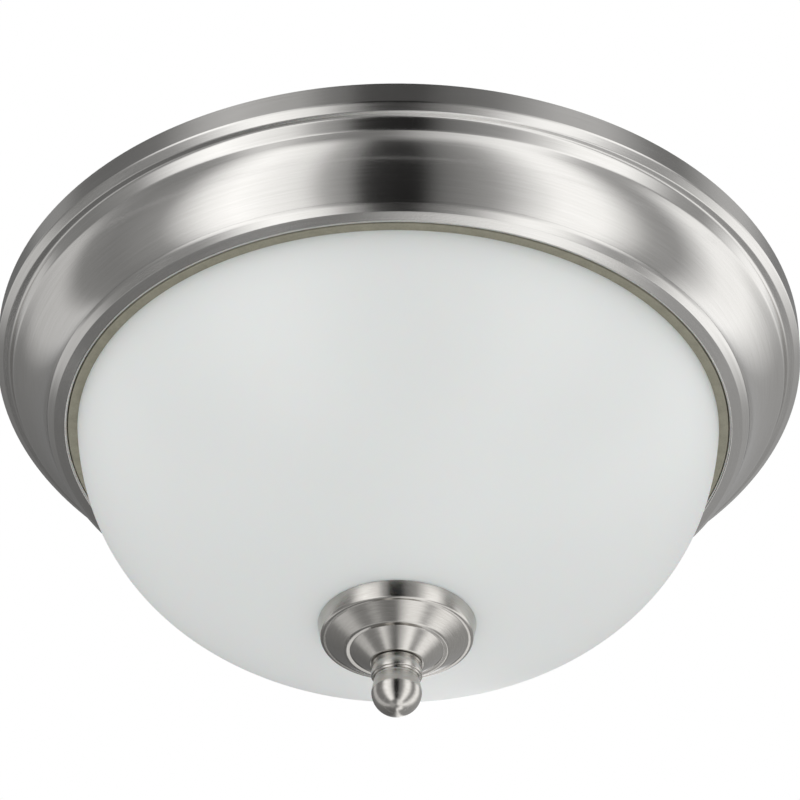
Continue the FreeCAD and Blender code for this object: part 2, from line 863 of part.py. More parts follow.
def holderBody(name, side):
    # Porcelain: a waisted back with the terminals and a wider cup round the screw shell.
    waist = size("holder_waist_radius")
    wide = size("holder_radius")
    length = size("holder_length")
    soft = size("holder_round")
    cup = shellRadius() + size("shell_sheet") + size("shell_base_fit")
    lip = cup + size("holder_lip_clearance")
    floor = size("holder_floor")
    body = turnedBody(f"holder_blank_{name}", [
        (0, 0), (waist, 0, soft), (waist, size("holder_waist_length")),
        (wide, size("holder_waist_length") + size("holder_flare")), (wide, length, soft),
        (lip, length), (lip, length - size("holder_lip")), (cup, length - size("holder_lip")),
        (cup, floor), (0, floor)])
    tools = []
    for order, spread in enumerate((1, -1)):
        tools.append(cylinder(f"holder_screw_hole_{name}{order}",
                              size("holder_screw_radius") + size("thread_fit"),
                              size("holder_screw_depth") + size("thread_fit"),
                              (0, spread * size("holder_screw_spread"), 0)))
        tools.append(cylinder(f"terminal_hole_{name}{order}", size("terminal_hole_radius"),
                              size("terminal_hole_depth"),
                              (-waist, spread * size("terminal_hole_spread"), size("terminal_hole_height")),
                              lyingDown))
    return placeLamp(cut(f"holder_body_{name}", body, tools), side)


def holderShell(name, side):
    # The brass screw shell, with a flange turned in at its foot.
    inner = shellRadius()
    outer = inner + size("shell_sheet")
    low = size("holder_floor") + size("shell_lift")
    high = low + size("shell_length")
    floor = low + size("shell_sheet")
    shell = turnedBody(f"holder_shell_{name}", [
        (outer, low, size("shell_sheet")), (outer, high), (inner, high), (inner, floor),
        (inner - size("shell_flange"), floor), (inner - size("shell_flange"), low)])
    return placeLamp(shell, side)


def holderSpring(name, side):
    # The centre contact, a bent strip that rises towards the bulb's tip.
    foot = size("holder_floor")
    high = foot + size("spring_rise")
    bend = size("spring_round")
    start = -size("spring_foot") - size("spring_ramp")
    strip = bentStrip(f"holder_spring_{name}", [
        (start - size("spring_foot") / 2, foot), (start + size("spring_foot") / 2, foot, bend),
        (-size("spring_foot") / 2, high, bend), (size("spring_reach") - size("spring_foot") / 2, high),
    ], size("spring_sheet"), size("spring_width"))
    return placeLamp(strip, side)


def holderBracket(name, side):
    # An angle of strip: the foot lies under the deck, the leg carries the lampholder's back.
    # The holes' cutters stand a strip's thickness clear of both faces.
    thick = size("bracket_sheet")
    strip = bentStrip(f"bracket_strip_{name}", [
        (-deckReach, size("bracket_foot") - thick), (-deckReach, -thick, size("bracket_bend")),
        (size("bracket_below_axis"), -thick),
    ], thick, size("bracket_width"))
    tools = []
    for order, spread in enumerate((1, -1)):
        tools.append(cylinder(f"leg_hole_{name}{order}", size("holder_screw_radius") + size("thread_fit"),
                              thick * 3, (0, spread * size("holder_screw_spread"), -thick * 2)))
        along = size("rivet_first") + order * size("rivet_spacing")
        tools.append(cylinder(f"foot_hole_{name}{order}", size("rivet_radius") + size("thread_fit"),
                              thick * 3, (-deckReach - thick, 0, along), lyingDown))
    return placeLamp(cut(f"holder_bracket_{name}", strip, tools), side)


def bracketRivets(name, side):
    # Domed heads under the bracket's foot, set over above the deck.
    head = size("rivet_head_radius")
    low = -size("deck_drop") - size("bracket_sheet")
    tall = size("rivet_head_height")
    shank = size("rivet_radius")
    rivets = []
    for order in range(2):
        rivet = turnedBody(f"rivet_{name}{order}", [
            (0, low - tall), (head / 2, low - tall), (head, low), (shank, low), (shank, -deckTop),
            (head, -deckTop), (head / 2, -deckTop + tall), (0, -deckTop + tall)])
        spot = rivetSpot(side, order)
        rivets.append(place(rivet, (spot[0], spot[1], 0)))
    return together("Part::Compound", f"bracket_rivets_{name}", rivets)


def holderScrews(name, side):
    screws = []
    for order, spread in enumerate((1, -1)):
        corners = screwCorners(size("holder_screw_radius"), size("holder_screw_head"),
                               size("holder_screw_head_height"), -size("bracket_sheet"),
                               size("holder_screw_depth"))
        screw = turnedBody(f"holder_screw_{name}{order}", corners)
        turn = sideways[side]
        offset = turn.multVec(vector(0, spread, 0))
        spot = (-side * holderBack,
                side * size("lamp_offset") + round(offset.y) * size("holder_screw_spread"), -lampDrop)
        screws.append(place(screw, spot, turn))
    return together("Part::Compound", f"holder_screws_{name}", screws)


# The bulb's tip rests just off the raised end of the contact spring.
tipHeight = size("holder_floor") + size("spring_rise") + size("spring_sheet") + size("bulb_contact_gap")
baseHeight = tipHeight + size("bulb_contact_length")
collarHeight = baseHeight + size("bulb_base_length")
housingHeight = collarHeight + size("bulb_housing_length")
bulbEnd = tipHeight + size("bulb_length")


def bulbContact(name, side):
    tip = size("bulb_tip_radius")
    rise = tipHeight + size("bulb_tip_height")
    return placeLamp(turnedBody(f"bulb_contact_{name}", [
        (0, tipHeight), (tip / 2, tipHeight), (tip, tipHeight + size("bulb_tip_height") / 2), (tip, rise),
        (size("bulb_insulator_radius"), baseHeight), (0, baseHeight)]), side)


def bulbBase(name, side):
    radius = size("bulb_base_radius")
    soft = size("bulb_base_round")
    return placeLamp(turnedBody(f"bulb_base_{name}", [
        (0, baseHeight), (radius, baseHeight, soft), (radius, collarHeight), (0, collarHeight)]), side)


def bulbHousing(name, side):
    # A straight collar at the screw base, then a long flare up to the globe's seam.
    collar = size("bulb_collar_radius")
    flareStart = collarHeight + size("bulb_collar_length")
    wide = size("bulb_housing_radius")
    rise = size("bulb_flare_height")
    return placeLamp(turnedBody(f"bulb_housing_{name}", [
        (0, collarHeight), (collar, collarHeight), (collar, flareStart, collar),
        (wide - size("bulb_brow"), flareStart + rise, wide),
        (wide, housingHeight), (0, housingHeight)]), side)


def bulbGlobe(name, side):
    # A hollow dome: a short flare from the seam, then a half sphere.
    radius = size("bulb_radius")
    wall = size("bulb_globe_wall")
    seam = size("bulb_housing_radius") - size("bulb_seam_recess")
    shoulder = bulbEnd - radius - size("bulb_tip_height")
    inner = radius - wall
    return placeLamp(turnedBody(f"bulb_globe_{name}", [
        (seam - wall, housingHeight), (seam, housingHeight), (radius, shoulder),
        (radius, bulbEnd, radius - poleGap), (0, bulbEnd), (0, bulbEnd - wall),
        (inner, bulbEnd - wall, inner - poleGap), (inner, shoulder)]), side)


nodes = [
    canopyPan(), heatPad(), mountingStrap(), fixtureScrews(), groundScrew(), wireBushing(), centreRod(),
    hexNut("rod_nut_upper", -deckTop),
    hexNut("rod_nut_lower", -size("deck_drop") - size("spring_washer_thick") - size("nut_height")),
    springWasher(), glassBowl(), rimGasket(), finialCap(), capPad(), finialKnob(),
]
lampPieces = (holderBody, holderShell, holderSpring, holderBracket, bracketRivets, holderScrews,
              bulbContact, bulbBase, bulbHousing, bulbGlobe)
for name, side in sides:
    for piece in lampPieces:
        nodes.append(piece(name, side))

doc.recompute()
faulty = [item.Name for item in doc.Objects if "Invalid" in item.State or "Error" in item.State]
if faulty:
    raise RuntimeError(f"failed objects: {faulty}")
for node in nodes:
    shape = node.Shape
    if shape.isNull() or not shape.isValid() or not shape.Solids:
        raise RuntimeError(f"bad shape: {node.Label}")
for node in nodes:
    node.Shape.exportStep(f"parts/{node.Label}.step")
    print(f"{node.Label}: {len(node.Shape.Solids)} solid, {node.Shape.Volume:.0f} mm3")
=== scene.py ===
import json
import math

import bmesh
import bpy
import numpy as np
from mathutils import Matrix

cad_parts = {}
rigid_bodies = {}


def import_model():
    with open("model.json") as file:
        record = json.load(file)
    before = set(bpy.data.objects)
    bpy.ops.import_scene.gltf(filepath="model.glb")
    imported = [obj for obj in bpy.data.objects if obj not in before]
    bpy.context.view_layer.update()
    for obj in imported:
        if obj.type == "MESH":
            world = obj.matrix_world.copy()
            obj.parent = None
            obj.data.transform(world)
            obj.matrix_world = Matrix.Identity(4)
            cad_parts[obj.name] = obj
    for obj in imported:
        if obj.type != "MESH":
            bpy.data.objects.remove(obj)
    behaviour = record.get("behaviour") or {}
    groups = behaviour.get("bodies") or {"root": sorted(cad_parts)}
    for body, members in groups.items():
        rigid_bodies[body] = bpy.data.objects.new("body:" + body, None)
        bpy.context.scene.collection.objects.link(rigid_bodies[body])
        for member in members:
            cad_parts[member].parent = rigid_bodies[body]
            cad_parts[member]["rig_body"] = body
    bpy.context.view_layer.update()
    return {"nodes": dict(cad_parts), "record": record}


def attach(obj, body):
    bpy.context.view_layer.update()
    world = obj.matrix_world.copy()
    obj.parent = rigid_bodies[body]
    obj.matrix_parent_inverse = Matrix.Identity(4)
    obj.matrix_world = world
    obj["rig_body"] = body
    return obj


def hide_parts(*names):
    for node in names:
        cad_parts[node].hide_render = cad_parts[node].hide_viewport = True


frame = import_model()
cadNodes = frame["nodes"]
slotOf = {part["node"]: part["material_slot"] for part in frame["record"]["subparts"]}
mm = 0.001
fullTurn = 2 * math.pi
sharpAngle = math.radians(32)
onAxisBelow = 1e-6
print("frame loaded:", len(cadNodes), "nodes")


# Paths and meshes. Lengths in the settings are millimetres, meshes are in metres.

def roundedPath(corners, spacing=0.3, fewest=4):
    # Each corner becomes an arc that touches both its sides; a corner without a radius stays sharp.
    marks = np.array([corner[:2] for corner in corners], float)
    radii = [corner[2] if len(corner) > 2 else 0 for corner in corners]
    stretches = [marks[:1]]
    for before, mark, after, radius in zip(marks, marks[1:], marks[2:], radii[1:]):
        into = (mark - before) / np.linalg.norm(mark - before)
        out = (after - mark) / np.linalg.norm(after - mark)
        bend = math.atan2(into[0] * out[1] - into[1] * out[0], into @ out)
        if not radius:
            stretches.append(mark[None])
            continue
        inward = np.array((-into[1], into[0])) * math.copysign(radius, bend)
        centre = mark - into * radius * math.tan(abs(bend) / 2) + inward
        angles = np.linspace(0, bend, max(fewest, int(radius * abs(bend) / spacing)))
        cosines, sines = np.cos(angles), np.sin(angles)
        stretches.append(centre - np.stack((cosines * inward[0] - sines * inward[1],
                                            sines * inward[0] + cosines * inward[1]), 1))
    stretches.append(marks[-1:])
    return np.concatenate(stretches)


def movedCorners(corners, gap, least=0.1):
    # Every side moves to its left by the gap, corners go where the moved sides meet,
    # and a radius shrinks by the gap on a left bend or grows by it on a right bend.
    marks = np.array([corner[:2] for corner in corners], float)
    sides = np.diff(marks, axis=0)
    sides /= np.linalg.norm(sides, axis=1)[:, None]
    lefts = np.stack((-sides[:, 1], sides[:, 0]), 1)
    first, second = lefts[:-1], lefts[1:]
    meeting = (first + second) / (1 + (first * second).sum(1))[:, None]
    moved = marks + gap * np.concatenate((lefts[:1], meeting, lefts[-1:]))
    bends = np.sign(first[:, 0] * second[:, 1] - first[:, 1] * second[:, 0])
    result = []
    for place, corner, bend in zip(moved, corners, [0, *bends, 0]):
        radius = corner[2] if len(corner) > 2 else 0
        result.append((*place, max(radius - gap * bend, least) if radius else 0))
    return result


def flatEnds(path, inset=0.1, shortest=1):
    # A point close to each end of every long side, so that flats look flat beside their rounds.
    stretches = []
    for start, end in zip(path, path[1:]):
        length = np.linalg.norm(end - start)
        near = (end - start) * inset / length
        stretches.append([start, start + near, end - near] if length > shortest else [start])
    return np.concatenate((*stretches, path[-1:]))


def sheetLoop(corners, thick):
    # The outer skin one way and the skin a sheet's thickness to its left back again.
    outer = flatEnds(roundedPath(corners))
    inner = flatEnds(roundedPath(movedCorners(corners, thick)))
    return np.concatenate((outer, inner[::-1]))


def splitPath(path, step):
    # New points at even distances along each side that is longer than the step.
    stretches = []
    for start, end in zip(path, path[1:]):
        count = max(1, math.ceil(np.linalg.norm(end - start) / step))
        stretches.append(start + (end - start) * np.arange(count)[:, None] / count)
    return np.concatenate((*stretches, path[-1:]))


def circle(radius, count):
    # Points (r cos a, r sin a) at even angles.
    angles = np.arange(count) * fullTurn / count
    return np.stack((radius * np.cos(angles), radius * np.sin(angles)), 1)


def rectangle(low, high):
    # The four corners from (x, y) to (x, y), counter-clockwise.
    return np.array((low, (high[0], low[1]), high, (low[0], high[1])), float)


def meshPiece(name, points, faces):
    # Smooth faces with sharp edges past the sharp angle.
    mesh = bpy.data.meshes.new(name)
    mesh.from_pydata(points.tolist(), [], faces)
    mesh.polygons.foreach_set("use_smooth", np.ones(len(mesh.polygons), bool))
    mesh.set_sharp_from_angle(angle=sharpAngle)
    mesh.update()
    piece = bpy.data.objects.new(name, mesh)
    bpy.context.scene.collection.objects.link(piece)
    return piece


def turnedPiece(name, loop, around, thread=None):
    # The closed loop of radius and height is carried round Z: x = r cos a, y = r sin a.
    # Points on the axis are one vertex each, and the stretch along the axis has no faces.
    # A thread takes depth (1 - cos(turn h / pitch - a)) / 2 from r, and fades over a pitch at both ends.
    radius, height = loop[:, 0], loop[:, 1]
    area = (radius * np.roll(height, -1) - np.roll(radius, -1) * height).sum()
    if area < 0:
        radius, height = radius[::-1], height[::-1]
    onAxis = radius < onAxisBelow
    counts = np.where(onAxis, 1, around)
    starts = np.cumsum(counts) - counts
    columns = np.arange(around)
    index = starts[:, None] + np.where(onAxis[:, None], 0, columns)
    angles = columns * fullTurn / around
    reach = radius[:, None] + 0 * angles
    if thread:
        low, high, pitch, depth = thread
        ends = np.clip(np.minimum(height - low, high - height) / pitch, 0, 1)[:, None]
        reach -= ends * depth * (1 - np.cos(height[:, None] * fullTurn / pitch - angles)) / 2
    grid = np.stack((reach * np.cos(angles), reach * np.sin(angles), height[:, None] + 0 * angles), -1) * mm
    points = grid[~onAxis[:, None] | (columns == 0)]
    above, beside = np.roll(index, -1, 0), np.roll(index, -1, 1)
    corner = np.roll(above, -1, 1)
    nextOnAxis = np.roll(onAxis, -1)
    full = ~onAxis & ~nextOnAxis
    quads = np.stack((index, beside, corner, above), -1)[full].reshape(-1, 4)
    fromPole = np.stack((index, corner, above), -1)[onAxis & ~nextOnAxis].reshape(-1, 3)
    toPole = np.stack((index, beside, above), -1)[~onAxis & nextOnAxis].reshape(-1, 3)
    return meshPiece(name, points, quads.tolist() + fromPole.tolist() + toPole.tolist())


def prism(outline, low, high, lean=0):
    # The outline at two heights, a face at each end and one for each side between them;
    # the upper one is moved along Y by the lean.
    count = len(outline)
    steps = np.arange(count)
    onward = (steps + 1) % count
    points = np.concatenate((np.column_stack((outline, np.full(count, low))),
                             np.column_stack((outline + (0, lean), np.full(count, high)))))
    walls = np.stack((steps, onward, onward + count, steps + count), -1)
    return points, [steps[::-1].tolist(), (steps + count).tolist(), *walls.tolist()]


def cutWith(piece, shapes):
    # Each prism is taken out of the piece, which keeps the result as its own mesh.
    points, faces, start = [], [], 0
    for shapePoints, shapeFaces in shapes:
        points.append(shapePoints)
        faces += [[corner + start for corner in face] for face in shapeFaces]
        start += len(shapePoints)
    cutter = meshPiece("cutter", np.concatenate(points) * mm, faces)
    carving = piece.modifiers.new("carving", "BOOLEAN")
    carving.operation = "DIFFERENCE"
    carving.solver = "EXACT"
    carving.object = cutter
    bpy.context.view_layer.update()
    carved = bpy.data.meshes.new_from_object(piece.evaluated_get(bpy.context.evaluated_depsgraph_get()))
    piece.modifiers.clear()
    piece.data = carved
    carved.set_sharp_from_angle(angle=sharpAngle)
    bpy.data.objects.remove(cutter)


def moved(piece, spot, tilt):
    # The mesh is tilted about Y by degrees, then taken to the spot.
    lift = Matrix.Translation(np.array(spot) * mm)
    piece.data.transform(lift @ Matrix.Rotation(math.radians(tilt), 4, "Y"))
    return piece


def joined(pieces):
    # The first piece takes over the meshes of all.
    whole = bmesh.new()
    for piece in pieces:
        whole.from_mesh(piece.data)
    whole.to_mesh(pieces[0].data)
    whole.free()
    for piece in pieces[1:]:
        bpy.data.objects.remove(piece)
    return pieces[0]


def standsFor(piece, node):
    # The piece takes the node's place, body, slot and finish.
    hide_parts(node)
    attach(piece, cadNodes[node]["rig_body"])
    piece.data.materials.append(finishes[slotOf[node]])


# Materials. A capitalised setting is a socket of the node and takes a value or another
# node's output; any other setting is a choice of the node itself.

def add(tree, kind, **settings):
    made = tree.nodes.new("ShaderNode" + kind)
    for name, value in settings.items():
        if not name[0].isupper():
            setattr(made, name, value)
        elif isinstance(value, bpy.types.NodeSocket):
            tree.links.new(value, made.inputs[name.replace("_", " ")])
        else:
            made.inputs[name.replace("_", " ")].default_value = value
    return made


def calc(tree, operation, *values):
    # One step of arithmetic on numbers and outputs.
    made = tree.nodes.new("ShaderNodeMath")
    made.operation = operation
    for socket, value in zip(made.inputs, values):
        if isinstance(value, bpy.types.NodeSocket):
            tree.links.new(value, socket)
        else:
            socket.default_value = value
    return made.outputs[0]


def ranged(tree, value, fromLow, fromHigh, toLow, toHigh):
    # The value's place between two limits, carried over to two others and held there.
    return add(tree, "MapRange", Value=value, From_Min=fromLow, From_Max=fromHigh,
               To_Min=toLow, To_Max=toHigh).outputs[0]


def noise(tree, vector, scale, detail=3.0, roughness=0.55):
    made = add(tree, "TexNoise", Vector=vector, Scale=scale, Detail=detail, Roughness=roughness)
    return made.outputs["Fac"]


def weighed(tree, first, second, share):
    # first times share + second times what is left of one.
    return calc(tree, "ADD", calc(tree, "MULTIPLY", first, share), calc(tree, "MULTIPLY", second, 1 - share))


def fromAxis(tree, parts):
    # The square root of x squared + y squared.
    return calc(tree, "SQRT", calc(tree, "ADD", calc(tree, "MULTIPLY", parts[0], parts[0]),
                                   calc(tree, "MULTIPLY", parts[1], parts[1])))


def blended(tree, share, first, second):
    # From the first colour to the second by the share; 6, 7 and 2 are the node's colour sockets.
    made = add(tree, "Mix", data_type="RGBA")
    made.inputs[6].default_value = (*first, 1)
    made.inputs[7].default_value = (*second, 1)
    tree.links.new(share, made.inputs[0])
    return made.outputs[2]


def newMaterial(name, roughness, metallic=0.0, **sockets):
    # A metal or plain shader with its even sockets set, and the place on the object.
    made = bpy.data.materials.new(name)
    made.use_nodes = True
    tree = made.node_tree
    shader = tree.nodes["Principled BSDF"]
    shader.inputs["Roughness"].default_value = roughness
    shader.inputs["Metallic"].default_value = metallic
    for socket, value in sockets.items():
        shader.inputs[socket.replace("_", " ")].default_value = value
    place = add(tree, "TexCoord").outputs["Object"]
    return made, tree, shader, place


def setSocket(tree, shader, name, value):
    tree.links.new(value, shader.inputs[name])


def setGloss(tree, shader, value, roughness, spread, low=0.3, high=0.7):
    # The roughness goes from one side of its middle to the other as the value rises.
    gloss = ranged(tree, value, low, high, roughness - spread, roughness + spread)
    setSocket(tree, shader, "Roughness", gloss)


def setMottle(tree, shader, value, dark, pale, low=0.35, high=0.65):
    # The colour goes from dark to pale as the value rises.
    share = ranged(tree, value, low, high, 0.0, 1.0)
    setSocket(tree, shader, "Base Color", blended(tree, share, dark, pale))


def bumped(tree, shader, height, strength, distance):
    # A bump over any bump that is already there.
    made = add(tree, "Bump", Height=height, Strength=strength, Distance=distance)
    if shader.inputs["Normal"].is_linked:
        tree.links.new(shader.inputs["Normal"].links[0].from_socket, made.inputs["Normal"])
    tree.links.new(made.outputs[0], shader.inputs["Normal"])


spun = {"lineDetail": 4.0, "lineRoughness": 0.6, "lineShare": 0.7, "cloudDetail": 4.0,
        "smallestRadius": 1e-5, "quarterTurn": 0.25}


def spunMetal(name, look):
    # Lines run round Z: the noise is read at (cos a, sin a, radius + height), each with
    # its own scale, and the highlight is stretched across the lines.
    made, tree, shader, place = newMaterial(name, look["roughness"], 1.0, Anisotropic=look["stretch"],
                                            Anisotropic_Rotation=spun["quarterTurn"])
    parts = add(tree, "SeparateXYZ", Vector=place).outputs
    radius = fromAxis(tree, parts)
    safe = calc(tree, "MAXIMUM", radius, spun["smallestRadius"])
    along = calc(tree, "ADD", radius, parts[2])
    around = [calc(tree, "MULTIPLY", calc(tree, "DIVIDE", part, safe), look["streak"]) for part in parts[:2]]
    levels = []
    for size in look["lineSizes"]:
        vector = add(tree, "CombineXYZ", X=around[0], Y=around[1],
                     Z=calc(tree, "DIVIDE", along, size * mm)).outputs[0]
        levels.append(noise(tree, vector, 1.0, spun["lineDetail"], spun["lineRoughness"]))
    lines = calc(tree, "MULTIPLY", calc(tree, "ADD", *levels), 0.5)
    cloud = noise(tree, place, look["cloudScale"], spun["cloudDetail"])
    mixed = weighed(tree, lines, cloud, spun["lineShare"])
    setGloss(tree, shader, mixed, look["roughness"], look["spread"])
    setMottle(tree, shader, mixed, look["dark"], look["pale"])
    bumped(tree, shader, lines, look["lineStrength"], look["lineDepth"] * mm)
    across = add(tree, "CombineXYZ", X=calc(tree, "MULTIPLY", parts[1], -1.0), Y=parts[0], Z=0.0).outputs[0]
    tangent = add(tree, "VectorTransform", Vector=across, vector_type="VECTOR",
                  convert_from="OBJECT", convert_to="WORLD").outputs[0]
    setSocket(tree, shader, "Tangent", tangent)
    return made, tree, shader, place, radius, parts


panMetal = {"roughness": 0.165, "spread": 0.03, "stretch": 0.2, "streak": 5.0, "lineSizes": (0.9, 0.25),
            "cloudScale": 14.0, "dark": (0.53, 0.52, 0.50), "pale": (0.60, 0.59, 0.575),
            "lineStrength": 0.15, "lineDepth": 0.02,
            # the hem: radius and height where its grain starts, and where it is full
            "hemRadii": (138.5, 138.1), "hemHeights": (-38.5, -39.0),
            "grainScale": 1300.0, "grainDetail": 2.0, "grainStrength": 0.5, "grainDepth": 0.02}


def brushedNickel():
    # Spun sheet, with a sanded grain on the hem inside the roll.
    made, tree, shader, place, radius, parts = spunMetal("brushedNickel", panMetal)
    inside, below = [ranged(tree, value, start * mm, full * mm, 0.0, 1.0) for value, (start, full) in
                     ((radius, panMetal["hemRadii"]), (parts[2], panMetal["hemHeights"]))]
    grain = noise(tree, place, panMetal["grainScale"], panMetal["grainDetail"])
    bumped(tree, shader, calc(tree, "MULTIPLY", grain, calc(tree, "MULTIPLY", inside, below)),
           panMetal["grainStrength"], panMetal["grainDepth"] * mm)
    return made


capMetal = {"roughness": 0.18, "spread": 0.03, "stretch": 0.3, "streak": 4.0, "lineSizes": (0.5, 0.15),
            "cloudScale": 40.0, "dark": (0.43, 0.415, 0.39), "pale": (0.55, 0.535, 0.51),
            "lineStrength": 0.15, "lineDepth": 0.012}


def polishedNickel():
    # The same spun metal with finer lines, for the cap and the knob.
    return spunMetal("polishedNickel", capMetal)[0]


opalLook = {"pale": (0.835, 0.85, 0.84), "deep": (0.805, 0.825, 0.812), "cloudScale": 9.0,
            "roughness": 0.42, "spread": 0.05, "ior": 1.5, "under": 0.15, "underScale": 0.006,
            "satinScale": 1400.0, "satinDetail": 2.0, "satinStrength": 0.05, "satinDepth": 0.02}


def opalGlass():
    # White glass with light that spreads under a satin surface, and a faint mottle.
    made, tree, shader, place = newMaterial("opalGlass", opalLook["roughness"], IOR=opalLook["ior"],
                                            Subsurface_Weight=opalLook["under"],
                                            Subsurface_Scale=opalLook["underScale"])
    cloud = noise(tree, place, opalLook["cloudScale"])
    setSocket(tree, shader, "Base Color", blended(tree, cloud, opalLook["deep"], opalLook["pale"]))
    satin = noise(tree, place, opalLook["satinScale"], opalLook["satinDetail"])
    setGloss(tree, shader, satin, opalLook["roughness"], opalLook["spread"])
    bumped(tree, shader, satin, opalLook["satinStrength"], opalLook["satinDepth"] * mm)
    return made


fibreLook = {"roughness": 0.95, "sheen": 0.3, "strands": ((160.0, 1300.0, 500.0), (1300.0, 160.0, 500.0)),
             "detail": 4.0, "tangle": 0.7, "range": (0.4, 0.75), "dark": (0.62, 0.56, 0.40),
             "pale": (0.85, 0.81, 0.68), "strength": 0.9, "depth": 0.4}


def fibrePad():
    # Felted glass fibre: crossed noises stretched along X and along Y stand up as strands.
    made, tree, shader, place = newMaterial("fibreFelt", fibreLook["roughness"],
                                            Sheen_Weight=fibreLook["sheen"])
    strands = []
    for stretch in fibreLook["strands"]:
        vector = add(tree, "Mapping", Vector=place, Scale=stretch).outputs[0]
        strands.append(noise(tree, vector, 1.0, fibreLook["detail"], fibreLook["tangle"]))
    felt = calc(tree, "MAXIMUM", *strands)
    setMottle(tree, shader, felt, fibreLook["dark"], fibreLook["pale"], *fibreLook["range"])
    bumped(tree, shader, felt, fibreLook["strength"], fibreLook["depth"] * mm)
    return made


zincLook = {"cellScale": 420.0, "cellShare": 0.35, "cloudScale": 90.0, "cloudDetail": 4.0,
            "blue": (0.55, 0.57, 0.60), "yellow": (0.72, 0.70, 0.64),
            "roughness": 0.33, "spread": 0.09, "evenRoughness": 0.32, "range": (0.2, 0.8),
            "grainScale": 1500.0, "grainDetail": 2.0, "strength": 0.2, "depth": 0.03}


def zincPlate():
    # Bright zinc: pale spangles from cells, with a thin bluish to yellowish shift between them.
    made, tree, shader, place = newMaterial("zincPlate", zincLook["evenRoughness"], 1.0)
    cells = add(tree, "TexVoronoi", Vector=place, Scale=zincLook["cellScale"]).outputs["Color"]
    shade = add(tree, "SeparateColor", Color=cells).outputs[0]
    cloud = noise(tree, place, zincLook["cloudScale"], zincLook["cloudDetail"])
    mixed = weighed(tree, shade, cloud, zincLook["cellShare"])
    setSocket(tree, shader, "Base Color", blended(tree, mixed, zincLook["blue"], zincLook["yellow"]))
    setGloss(tree, shader, mixed, zincLook["roughness"], zincLook["spread"], *zincLook["range"])
    grain = noise(tree, place, zincLook["grainScale"], zincLook["grainDetail"])
    bumped(tree, shader, grain, zincLook["strength"], zincLook["depth"] * mm)
    return made


# slot: the looks of the plain finishes; the depth of their grain is in millimetres
grainLooks = {
    "rim_rubber": {"name": "rimRubber", "dark": (0.23, 0.22, 0.165), "pale": (0.31, 0.295, 0.225),
                   "roughness": 0.8, "scale": 1600.0, "depth": 0.05},
    "pad_rubber": {"name": "padRubber", "dark": (0.03, 0.03, 0.032), "pale": (0.06, 0.06, 0.06),
                   "roughness": 0.7, "scale": 1400.0, "depth": 0.05},
    "brass": {"name": "brassStrip", "dark": (0.66, 0.47, 0.20), "pale": (0.80, 0.60, 0.30),
              "roughness": 0.3, "scale": 700.0, "depth": 0.02, "strength": 0.3, "metallic": 1.0},
    "green_screw": {"name": "greenScrew", "dark": (0.03, 0.20, 0.07), "pale": (0.06, 0.32, 0.12),
                    "roughness": 0.35, "scale": 900.0, "depth": 0.03, "strength": 0.3, "metallic": 0.6},
    "bushing_plastic": {"name": "bushingPlastic", "dark": (0.70, 0.69, 0.65), "pale": (0.80, 0.79, 0.76),
                        "roughness": 0.5, "scale": 900.0, "depth": 0.03},
    "porcelain": {"name": "glazedPorcelain", "dark": (0.80, 0.79, 0.75), "pale": (0.88, 0.87, 0.84),
                  "roughness": 0.15, "scale": 300.0, "depth": 0.03, "strength": 0.25, "spread": 0.05,
                  "Coat_Weight": 0.6},
    "bulb_white": {"name": "bulbHousing", "dark": (0.80, 0.80, 0.79), "pale": (0.87, 0.87, 0.86),
                   "roughness": 0.38, "scale": 1200.0, "depth": 0.02},
    "bulb_frost": {"name": "frostedGlobe", "dark": (0.82, 0.82, 0.80), "pale": (0.90, 0.90, 0.88),
                   "roughness": 0.45, "scale": 1500.0, "depth": 0.02, "strength": 0.3,
                   "Subsurface_Weight": 0.2, "Subsurface_Scale": 0.004},
    "bulb_cap": {"name": "bulbScrewCap", "dark": (0.60, 0.59, 0.57), "pale": (0.74, 0.73, 0.71),
                 "roughness": 0.28, "scale": 800.0, "depth": 0.02, "strength": 0.3, "metallic": 1.0},
    "bulb_black": {"name": "bulbInsulator", "dark": (0.012, 0.012, 0.014), "pale": (0.03, 0.03, 0.03),
                   "roughness": 0.25, "scale": 900.0, "depth": 0.02},
}
grainMix = {"coarseness": 0.12, "coarseDetail": 4.0, "coarseShare": 0.5}


def grainy(name, dark, pale, roughness, scale, depth, strength=0.5, metallic=0.0, spread=0.08, **sockets):
    # Two sizes of noise together mottle the colour, change the gloss and roughen the surface.
    made, tree, shader, place = newMaterial(name, roughness, metallic, **sockets)
    coarse = noise(tree, place, scale * grainMix["coarseness"], grainMix["coarseDetail"])
    fine = noise(tree, place, scale)
    mixed = weighed(tree, coarse, fine, grainMix["coarseShare"])
    setMottle(tree, shader, mixed, dark, pale)
    setGloss(tree, shader, mixed, roughness, spread)
    bumped(tree, shader, fine, strength, depth * mm)
    return made


finishes = {"brushed_nickel": brushedNickel(), "polished_nickel": polishedNickel(),
            "opal_glass": opalGlass(), "fibre_pad": fibrePad(), "zinc_steel": zincPlate()}
for slot, look in grainLooks.items():
    finishes[slot] = grainy(**look)
for name, part in cadNodes.items():
    part.data.materials.clear()
    part.data.materials.append(finishes[slotOf[name]])
print("materials made:", len(finishes))


